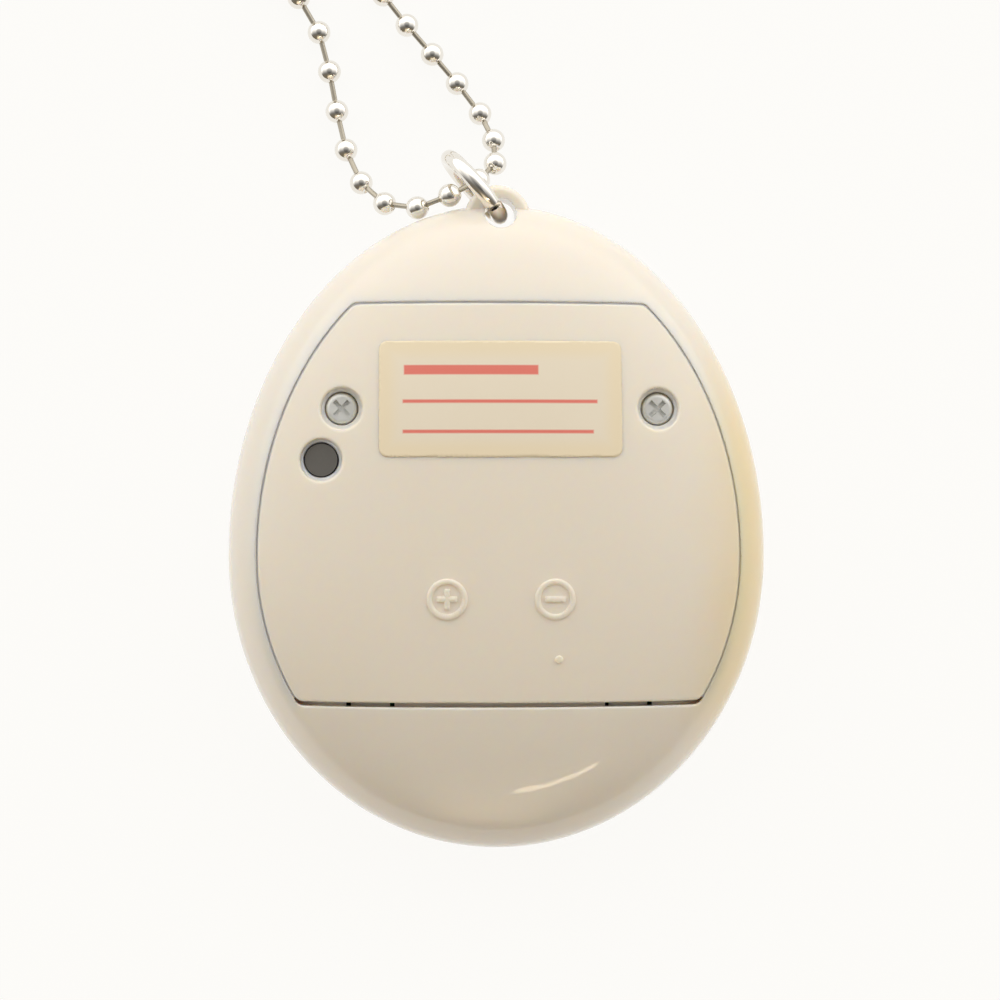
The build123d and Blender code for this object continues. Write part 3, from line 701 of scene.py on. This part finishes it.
ceramic = finish_of("brown_ceramic", (0.34, 0.21, 0.11), (0.28, 0.17, 0.09), (0.35, 0.5), grain_scale=4000)
wear(board, "circuit_board")
wear(epoxy, "chip_blob")
wear(tinned, "crystal", "reset_switch")
wear(ceramic, "board_capacitors")


# ---- Buzzer and its leads ----
# A thin brass disc, held inside the case. Its two thin leads run to the board and are taken
# to be bare copper.
brass = finish_of("dull_brass", (0.74, 0.55, 0.24), (0.60, 0.42, 0.17), (0.25, 0.42), grain_scale=3600,
                  Metallic=1.0)
lead_copper = finish_of("lead_copper", (0.78, 0.42, 0.24), (0.66, 0.34, 0.19), (0.2, 0.36), Metallic=1.0)
wear(brass, "buzzer_disc")
wear(lead_copper, "buzzer_leads")


# ---- Cells and contacts ----
# Two button cells in bright steel cans lie side by side under the cover. Sprung contacts in
# nickel-plated strip touch them, two from the case and one from the cover.
cell_steel = finish_of("cell_steel", (0.74, 0.73, 0.71), (0.66, 0.65, 0.62), (0.12, 0.26), drift_scale=400,
                       Metallic=1.0)
sprung = finish_of("sprung_strip", (0.76, 0.72, 0.63), (0.66, 0.62, 0.53), (0.18, 0.32), drift_scale=500,
                   Metallic=1.0)
wear(cell_steel, "battery_left", "battery_right")
wear(sprung, "contact_left", "contact_right", "contact_bridge")


# ---- Floor and light ----
# A white sheet lit from below and from above runs on past the view. A wide soft light stands
# beyond the lug end. The near side of the room is dim, with a small warm window and a strip lamp.
floor_half = 2.0
mesh = bmesh.new()
bmesh.ops.create_grid(mesh, x_segments=1, y_segments=1, size=floor_half)
floor_mesh = bpy.data.meshes.new("white_sheet")
mesh.to_mesh(floor_mesh)
mesh.free()
floor = bpy.data.objects.new("white_sheet", floor_mesh)
bpy.context.scene.collection.objects.link(floor)
paper = bpy.data.materials.new("white_paper")
paper.use_nodes = True
sheet = paper.node_tree
nodes, links = sheet.nodes, sheet.links
nodes["Principled BSDF"].inputs["Base Color"].default_value = (0.86, 0.85, 0.82, 1)
nodes["Principled BSDF"].inputs["Roughness"].default_value = 0.9
seen = nodes.new("ShaderNodeLightPath")
glow = nodes.new("ShaderNodeEmission")
glow.inputs["Color"].default_value = (1.0, 0.99, 0.965, 1)
direct = reckon(sheet, "MAXIMUM", reckon(sheet, "MAXIMUM", seen.outputs["Is Camera Ray"],
                                         seen.outputs["Is Glossy Ray"]),
                seen.outputs["Is Transmission Ray"])
lit_from_below = 0.45
more_when_seen = 0.48
share = reckon(sheet, "MULTIPLY_ADD", direct, more_when_seen, lit_from_below)
blend = nodes.new("ShaderNodeMixShader")
links.new(share, blend.inputs["Fac"])
links.new(nodes["Principled BSDF"].outputs[0], blend.inputs[1])
links.new(glow.outputs[0], blend.inputs[2])
links.new(blend.outputs[0], nodes["Material Output"].inputs["Surface"])
floor_mesh.materials.append(paper)

world = bpy.data.worlds.new("studio")
bpy.context.scene.world = world
world.use_nodes = True
room = world.node_tree
nodes, links = room.nodes, room.links
direction = nodes.new("ShaderNodeTexCoord")
split = nodes.new("ShaderNodeSeparateXYZ")
links.new(direction.outputs["Generated"], split.inputs["Vector"])
across, away, upward = split.outputs["X"], split.outputs["Y"], split.outputs["Z"]


def ramp(value, start, end, low=0.0, high=1.0):
    """A smooth step between two values as a direction turns."""
    step = nodes.new("ShaderNodeMapRange")
    step.interpolation_type = "SMOOTHSTEP"
    for label, number in (("From Min", start), ("From Max", end), ("To Min", low), ("To Max", high)):
        step.inputs[label].default_value = number
    links.new(value, step.inputs["Value"])
    return step.outputs["Result"]


to_a_side = reckon(room, "ABSOLUTE", across)
main_light = ramp(reckon(room, "MULTIPLY_ADD", to_a_side, 0.12, away), -0.42, 0.75, 0.19, 1.63)
overhead = ramp(upward, 0.84, 0.95, 1.0, 0.5)
soft_light = reckon(room, "MULTIPLY", main_light, overhead)
side_strength = 0.45
window_strength = 1.3
lamp_strength = 7.0
side_height = reckon(room, "MULTIPLY", ramp(upward, 0.45, 0.15, 0.0, side_strength),
                     ramp(to_a_side, 0.5, 0.85))
side_glow = reckon(room, "MULTIPLY", side_height, ramp(away, -0.45, 0.0))
window_height = reckon(room, "MULTIPLY", ramp(upward, 0.85, 0.45), ramp(upward, 0.10, 0.30))
window = reckon(room, "MULTIPLY", reckon(room, "MULTIPLY", window_height, ramp(away, -0.45, -0.75)),
                ramp(to_a_side, 0.40, 0.05, 0.0, window_strength))
low_glow = reckon(room, "ADD", side_glow, window)
lamp_height = reckon(room, "MULTIPLY", ramp(upward, 0.595, 0.605), ramp(upward, 0.64, 0.63))
lamp_length = reckon(room, "MULTIPLY", ramp(across, 0.07, 0.14), ramp(across, 0.42, 0.38))
lamp = reckon(room, "MULTIPLY", reckon(room, "MULTIPLY", lamp_height, lamp_length), ramp(away, -0.2, -0.4))
strength = reckon(room, "ADD", soft_light, reckon(room, "MULTIPLY_ADD", lamp, lamp_strength, low_glow))
view = nodes.new("ShaderNodeLightPath")
white = nodes.new("ShaderNodeMix")
links.new(view.outputs["Is Camera Ray"], white.inputs["Factor"])
links.new(strength, white.inputs["A"])
white.inputs["B"].default_value = 1.0
warm = nodes.new("ShaderNodeMix")
warm.data_type = "RGBA"
warm.inputs[6].default_value = (1.0, 0.985, 0.96, 1)
warm.inputs[7].default_value = (1.0, 0.80, 0.50, 1)
links.new(ramp(away, -0.2, -0.8, 0.0, 0.8), warm.inputs["Factor"])
sky = nodes["Background"]
links.new(white.outputs["Result"], sky.inputs["Strength"])
links.new(warm.outputs[2], sky.inputs["Color"])

bpy.context.scene.view_settings.view_transform = "Standard"
